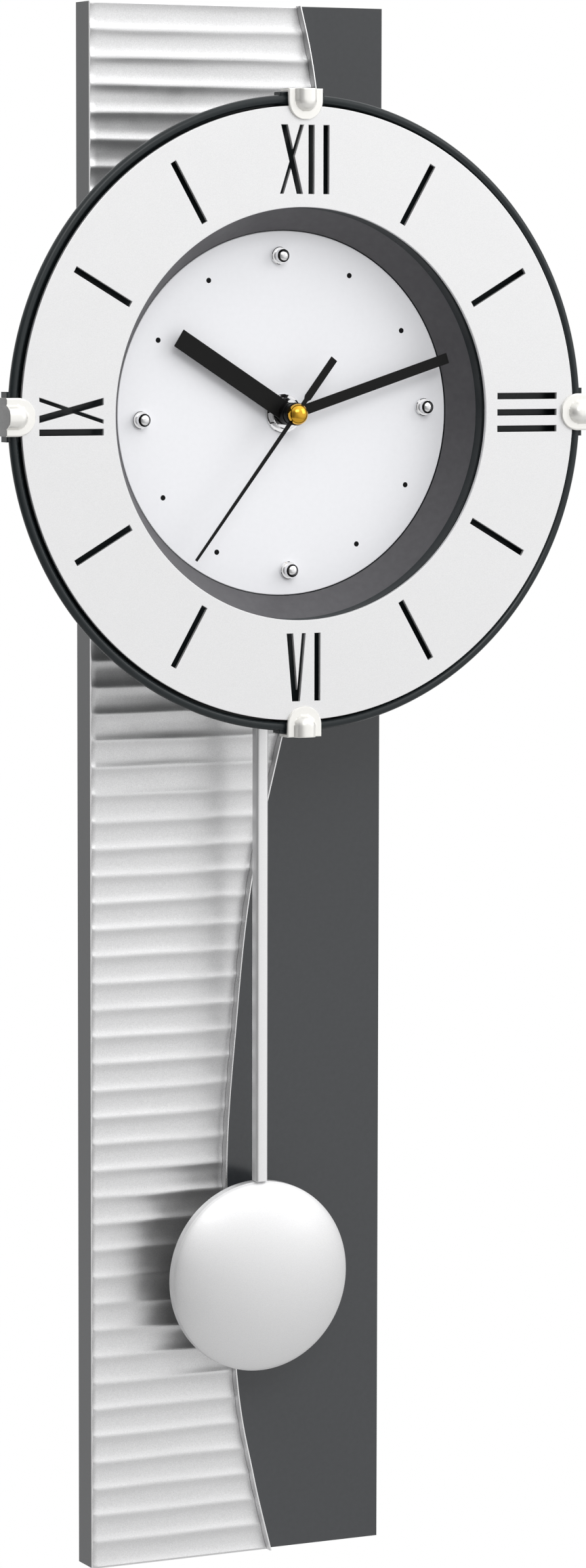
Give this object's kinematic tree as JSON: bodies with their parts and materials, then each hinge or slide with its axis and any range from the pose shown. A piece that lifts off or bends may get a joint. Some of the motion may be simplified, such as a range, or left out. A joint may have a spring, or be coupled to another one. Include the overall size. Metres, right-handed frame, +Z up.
{
  "type": "pendulum wall clock",
  "caption": "Tall board wall clock with a fluted silver relief, a raised round dial with pierced roman numerals, a quartz movement and a free-swinging pendulum.",
  "frame": {"origin": "centre of the backboard's back face, which lies on the wall", "axes": "+Z up along the board, -Y out of the wall towards the viewer, +X to the viewer's right"},
  "size_m": [0.2824, 0.0864, 0.7],
  "materials": {
    "board_lacquer": "satin anthracite lacquer on board",
    "relief_silver": "fine-grained satin silver",
    "trim_metal": "satin",
    "plate_silver": "fine-grained satin silver",
    "nickel": "bright nickel",
    "chrome": "polished",
    "dial_white": "satin white print lacquer",
    "charcoal_plastic": "satin charcoal",
    "black_plastic": "fine matt texture",
    "hand_black": "satin black",
    "brass": "polished",
    "zinc_steel": "zinc plated",
    "steel": "bright drawn",
    "magnet": "dull grey ferrite",
    "copper": "enamelled copper wire",
    "nylon": "natural nylon",
    "circuit_board": "green solder mask",
    "battery_jacket": "plain printed jacket",
    "rod_silver": "satin silver",
    "bob_silver": "satin silver"
  },
  "bodies": {
    "clock_body": {"backboard": "board_lacquer", "relief_panel": "relief_silver", "trim_upper": "trim_metal", "trim_lower": "trim_metal", "hanger_plate": "zinc_steel", "hanger_screw_1": "zinc_steel", "hanger_screw_2": "zinc_steel", "drum": "black_plastic", "dial_tray": "charcoal_plastic", "numeral_plate": "plate_silver", "clip_12": "nickel", "clip_3": "nickel", "clip_6": "nickel", "clip_9": "nickel", "drum_screw_1": "zinc_steel", "drum_screw_2": "zinc_steel", "drum_screw_3": "zinc_steel", "drum_screw_4": "zinc_steel", "tray_screw_1": "zinc_steel", "tray_screw_2": "zinc_steel", "tray_screw_3": "zinc_steel", "tray_screw_4": "zinc_steel", "inner_dial": "dial_white", "stud_12": "chrome", "stud_3": "chrome", "stud_6": "chrome", "stud_9": "chrome", "dial_washer": "chrome", "dial_nut": "chrome", "movement_front": "black_plastic", "movement_back": "black_plastic", "motor_coil": "copper", "stator": "steel", "pendulum_coil": "copper", "circuit_board": "circuit_board", "quartz_crystal": "steel", "battery_contact_top": "zinc_steel", "battery_contact_bottom": "zinc_steel", "pivot_pin": "steel"},
    "second_hand_set": {"second_hand": "hand_black", "second_wheel": "steel", "hand_cap": "brass"},
    "minute_hand_set": {"minute_hand": "hand_black", "minute_wheel": "nylon"},
    "hour_hand_set": {"hour_hand": "hand_black", "hour_wheel": "nylon"},
    "third_wheel_set": {"third_wheel": "nylon"},
    "motion_wheel_set": {"motion_wheel": "nylon", "set_knob": "black_plastic"},
    "intermediate_wheel_set": {"intermediate_wheel": "nylon"},
    "rotor_set": {"rotor": "magnet"},
    "pendulum": {"swing_lever": "black_plastic", "lever_magnet": "magnet", "pendulum_rod": "rod_silver", "bob_front": "bob_silver", "bob_back": "black_plastic"},
    "battery_cell": {"battery": "battery_jacket"}
  },
  "joints": [
    {"name": "second_turn", "type": "hinge", "parent": "clock_body", "child": "second_hand_set", "pos_m": [0, -0.05, 0.17], "axis": [0, 1, 0], "continuous": true},
    {"name": "minute_turn", "type": "hinge", "parent": "clock_body", "child": "minute_hand_set", "pos_m": [0, -0.05, 0.17], "axis": [0, 1, 0], "continuous": true},
    {"name": "hour_turn", "type": "hinge", "parent": "clock_body", "child": "hour_hand_set", "pos_m": [0, -0.05, 0.17], "axis": [0, 1, 0], "continuous": true},
    {"name": "third_turn", "type": "hinge", "parent": "clock_body", "child": "third_wheel_set", "pos_m": [0, -0.05, 0.161], "axis": [0, 1, 0], "continuous": true},
    {"name": "motion_turn", "type": "hinge", "parent": "clock_body", "child": "motion_wheel_set", "pos_m": [-0.011, -0.05, 0.17], "axis": [0, 1, 0], "continuous": true},
    {"name": "intermediate_turn", "type": "hinge", "parent": "clock_body", "child": "intermediate_wheel_set", "pos_m": [0, -0.05, 0.17775], "axis": [0, 1, 0], "continuous": true},
    {"name": "rotor_turn", "type": "hinge", "parent": "clock_body", "child": "rotor_set", "pos_m": [-0.00477, -0.05, 0.18252], "axis": [0, 1, 0], "continuous": true},
    {"name": "pendulum_swing", "type": "hinge", "parent": "clock_body", "child": "pendulum", "pos_m": [0, -0.0414, 0.216], "axis": [0, 1, 0], "range_deg": [-3, 3]},
    {"name": "battery_slide", "type": "slide", "parent": "clock_body", "child": "battery_cell", "axis": [0, 1, 0], "range_m": [0, 0.03]}
  ],
  "couplings": [
    {"joint": "minute_turn", "follows": "second_turn", "ratio": 0.016667},
    {"joint": "hour_turn", "follows": "second_turn", "ratio": 0.0013889},
    {"joint": "third_turn", "follows": "second_turn", "ratio": -0.13333},
    {"joint": "motion_turn", "follows": "second_turn", "ratio": -0.0055556},
    {"joint": "intermediate_turn", "follows": "second_turn", "ratio": -5},
    {"joint": "rotor_turn", "follows": "second_turn", "ratio": 30}
  ]
}
